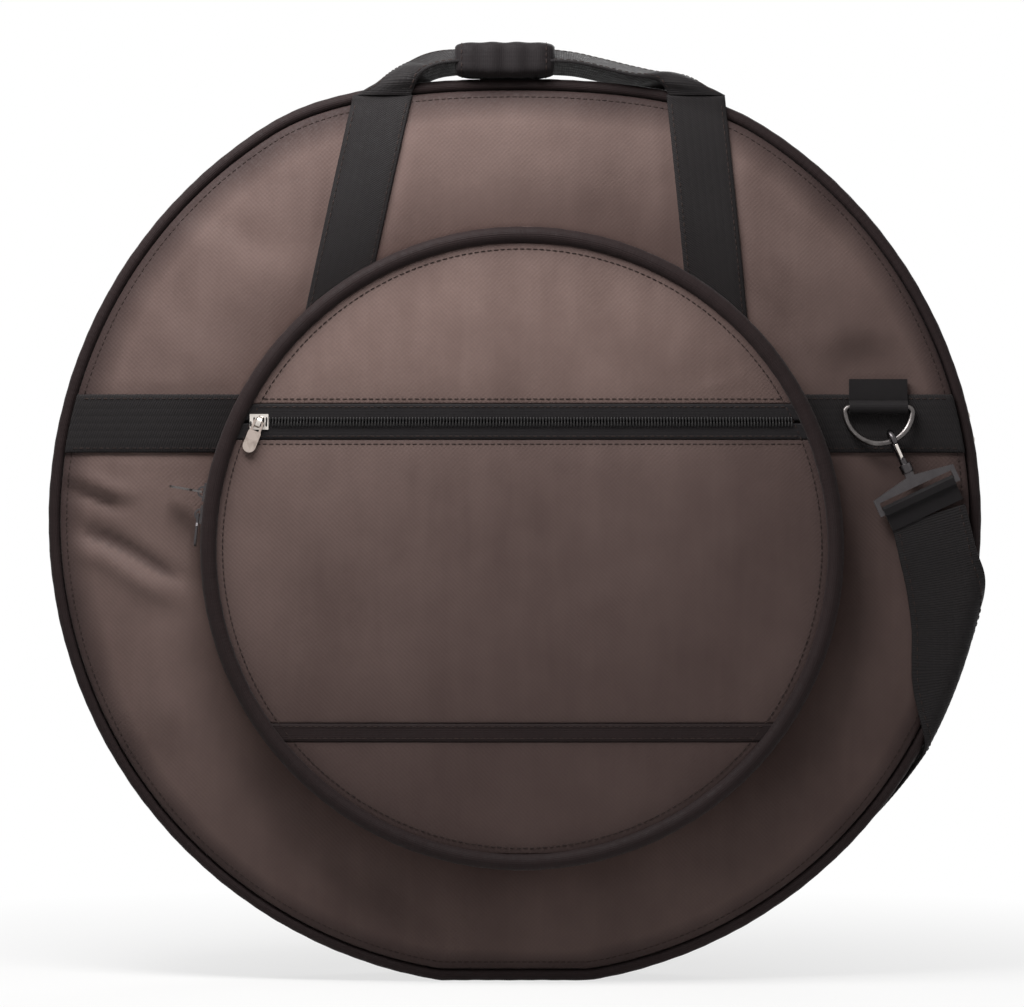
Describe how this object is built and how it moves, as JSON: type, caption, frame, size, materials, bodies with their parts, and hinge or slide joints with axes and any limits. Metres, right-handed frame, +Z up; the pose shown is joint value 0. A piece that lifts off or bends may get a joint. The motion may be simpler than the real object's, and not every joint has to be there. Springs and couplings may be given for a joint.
{
  "type": "cymbal bag",
  "caption": "Round soft cymbal bag standing on its rim, with a zipped round pocket, webbing carry handles and a clip-on shoulder strap.",
  "frame": {"origin": "the middle of the flattened base, on the floor, between the front and back halves", "axes": "+X to the viewer's right from the front, +Y from the pocket side to the back, +Z up"},
  "size_m": [0.6278, 0.1395, 0.613],
  "materials": {
    "nylon": "woven nylon, matt",
    "webbing": "ribbed webbing",
    "binding": "binding tape, dull",
    "foam": "lined foam",
    "coil": "moulded coil",
    "nickel": "nickel plate",
    "dark_metal": "satin black"
  },
  "bodies": {
    "bag": {"back_panel": "nylon", "rear_padding": "foam", "gusset_rear": "nylon", "piping_rear": "binding", "zip_teeth_rear": "coil", "bottom_panel": "nylon", "back_band": "webbing", "back_strap_left": "webbing", "back_strap_right": "webbing", "back_ring_tab": "webbing", "shoulder_strap": "webbing", "strap_adjuster": "dark_metal"},
    "lid": {"front_panel": "nylon", "front_padding": "foam", "gusset_front": "nylon", "piping_front": "binding", "zip_teeth_front": "coil", "front_band_left": "webbing", "front_band_right": "webbing", "front_strap_left": "webbing", "front_strap_right": "webbing", "front_ring_tab": "webbing", "pocket_gusset_inner": "nylon", "pocket_teeth_inner": "coil", "pocket_hinge_strip": "nylon"},
    "divider_leaf": {"divider": "foam"},
    "rear_loop": {"back_handle": "webbing"},
    "front_loop": {"front_handle": "webbing", "handle_grip": "binding"},
    "pocket_cover": {"pocket_face": "nylon", "pocket_teeth_outer": "coil", "pocket_gusset_outer": "nylon", "pocket_binding": "binding", "face_upper": "nylon", "face_zip_upper": "binding", "face_zip_lower": "binding", "pouch_panel": "nylon", "seam_tape": "binding", "face_lower": "nylon"},
    "face_slider": {"face_slider": "nickel"},
    "face_pull": {"face_pull": "nickel"},
    "main_slider_left": {"main_slider_left": "nickel"},
    "main_slider_right": {"main_slider_right": "nickel"},
    "main_pull_left": {"main_pull_left": "nickel"},
    "main_pull_right": {"main_pull_right": "nickel"},
    "pocket_slider_upper": {"pocket_slider_upper": "nickel"},
    "pocket_slider_lower": {"pocket_slider_lower": "nickel"},
    "pocket_pull_upper": {"pocket_pull_upper": "nickel"},
    "pocket_pull_lower": {"pocket_pull_lower": "nickel"},
    "front_ring": {"front_d_ring": "nickel"},
    "front_hook": {"front_hook": "nickel"},
    "front_gate": {"front_gate": "nickel"},
    "front_eye": {"front_eye": "dark_metal", "front_strap_end": "webbing"},
    "back_ring": {"back_d_ring": "nickel"},
    "back_hook": {"back_hook": "nickel"},
    "back_gate": {"back_gate": "nickel"},
    "back_eye": {"back_eye": "dark_metal", "back_strap_end": "webbing"}
  },
  "joints": [
    {"name": "lid_hinge", "type": "hinge", "parent": "bag", "child": "lid", "pos_m": [0, 0, 0.0015], "axis": [1, 0, 0], "range_deg": [0, 90], "deforming": ["bottom_panel", "shoulder_strap"]},
    {"name": "divider_lean", "type": "hinge", "parent": "bag", "child": "divider_leaf", "pos_m": [0, 0, 0.0058], "axis": [1, 0, 0], "range_deg": [0, 45], "deforming": ["bottom_panel"]},
    {"name": "rear_handle_fold", "type": "hinge", "parent": "bag", "child": "rear_loop", "pos_m": [0, 0.0388, 0.5795], "axis": [1, 0, 0], "range_deg": [-85, 0]},
    {"name": "front_handle_fold", "type": "hinge", "parent": "lid", "child": "front_loop", "pos_m": [0, -0.0388, 0.5795], "axis": [1, 0, 0], "range_deg": [0, 85]},
    {"name": "pocket_hinge", "type": "hinge", "parent": "lid", "child": "pocket_cover", "pos_m": [0.0047, -0.0552, 0.0748], "axis": [1, 0, 0], "range_deg": [0, 60], "deforming": ["pocket_hinge_strip"]},
    {"name": "main_zip_left", "type": "hinge", "parent": "bag", "child": "main_slider_left", "pos_m": [0, 0, 0.301], "axis": [0, 1, 0], "range_deg": [-225, 0]},
    {"name": "main_zip_right", "type": "hinge", "parent": "bag", "child": "main_slider_right", "pos_m": [0, 0, 0.301], "axis": [0, 1, 0], "range_deg": [0, 68]},
    {"name": "main_pull_left_lift", "type": "hinge", "parent": "main_slider_left", "child": "main_pull_left", "pos_m": [0.29816, 0, 0.36983], "axis": [0, 1, 0], "range_deg": [0, 110]},
    {"name": "main_pull_right_lift", "type": "hinge", "parent": "main_slider_right", "child": "main_pull_right", "pos_m": [0.30135, 0, 0.35414], "axis": [0, -1, 0], "range_deg": [0, 110]},
    {"name": "pocket_zip_upper", "type": "hinge", "parent": "lid", "child": "pocket_slider_upper", "pos_m": [0.0047, 0, 0.2828], "axis": [0, 1, 0], "range_deg": [0, 226]},
    {"name": "pocket_zip_lower", "type": "hinge", "parent": "lid", "child": "pocket_slider_lower", "pos_m": [0.0047, 0, 0.2828], "axis": [0, 1, 0], "range_deg": [-62, 0]},
    {"name": "pocket_pull_upper_swing", "type": "hinge", "parent": "pocket_slider_upper", "child": "pocket_pull_upper", "pos_m": [-0.20359, -0.0552, 0.31953], "axis": [0, 1, 0], "range_deg": [-55, 80]},
    {"name": "pocket_pull_lower_lift", "type": "hinge", "parent": "pocket_slider_lower", "child": "pocket_pull_lower", "pos_m": [-0.20564, -0.0552, 0.30491], "axis": [0, 1, 0], "range_deg": [0, 55]},
    {"name": "face_zip", "type": "slide", "parent": "pocket_cover", "child": "face_slider", "axis": [1, 0, 0], "range_m": [0, 0.33]},
    {"name": "face_pull_lift", "type": "hinge", "parent": "face_slider", "child": "face_pull", "pos_m": [-0.16496, -0.0785, 0.3645], "axis": [-0.9272, 0, 0.3746], "range_deg": [0, 150]},
    {"name": "front_ring_swing", "type": "hinge", "parent": "lid", "child": "front_ring", "pos_m": [0.237, -0.0445, 0.3745], "axis": [1, 0, 0], "range_deg": [-100, 0]},
    {"name": "front_hook_swing", "type": "hinge", "parent": "front_ring", "child": "front_hook", "pos_m": [0.2463, -0.04831, 0.35289], "axis": [0.9063, 0, 0.4226], "range_deg": [-60, 0]},
    {"name": "front_gate_press", "type": "hinge", "parent": "front_hook", "child": "front_gate", "pos_m": [0.25145, -0.05171, 0.34185], "axis": [0.9063, 0, 0.4226], "range_deg": [-20, 0], "stiffness_Nm_per_rad": 0.02, "springref_deg": 20.05},
    {"name": "front_eye_swivel", "type": "hinge", "parent": "front_hook", "child": "front_eye", "pos_m": [0.25614, -0.04831, 0.33178], "axis": [-0.4226, 0, 0.9063], "range_deg": [-10, 10]},
    {"name": "back_ring_swing", "type": "hinge", "parent": "bag", "child": "back_ring", "pos_m": [-0.237, 0.0445, 0.3745], "axis": [-1, 0, 0], "range_deg": [-100, 0]},
    {"name": "back_hook_swing", "type": "hinge", "parent": "back_ring", "child": "back_hook", "pos_m": [-0.22948, 0.04844, 0.35217], "axis": [-0.9397, 0, -0.342], "range_deg": [-60, 0]},
    {"name": "back_gate_press", "type": "hinge", "parent": "back_hook", "child": "back_gate", "pos_m": [-0.22531, 0.05184, 0.34072], "axis": [-0.9397, 0, -0.342], "range_deg": [-20, 0], "stiffness_Nm_per_rad": 0.02, "springref_deg": 20.05},
    {"name": "back_eye_swivel", "type": "hinge", "parent": "back_hook", "child": "back_eye", "pos_m": [-0.22151, 0.04844, 0.33028], "axis": [-0.342, 0, 0.9397], "range_deg": [-10, 10]}
  ],
  "couplings": [
    {"joint": "divider_lean", "follows": "lid_hinge", "ratio": 0.5}
  ]
}
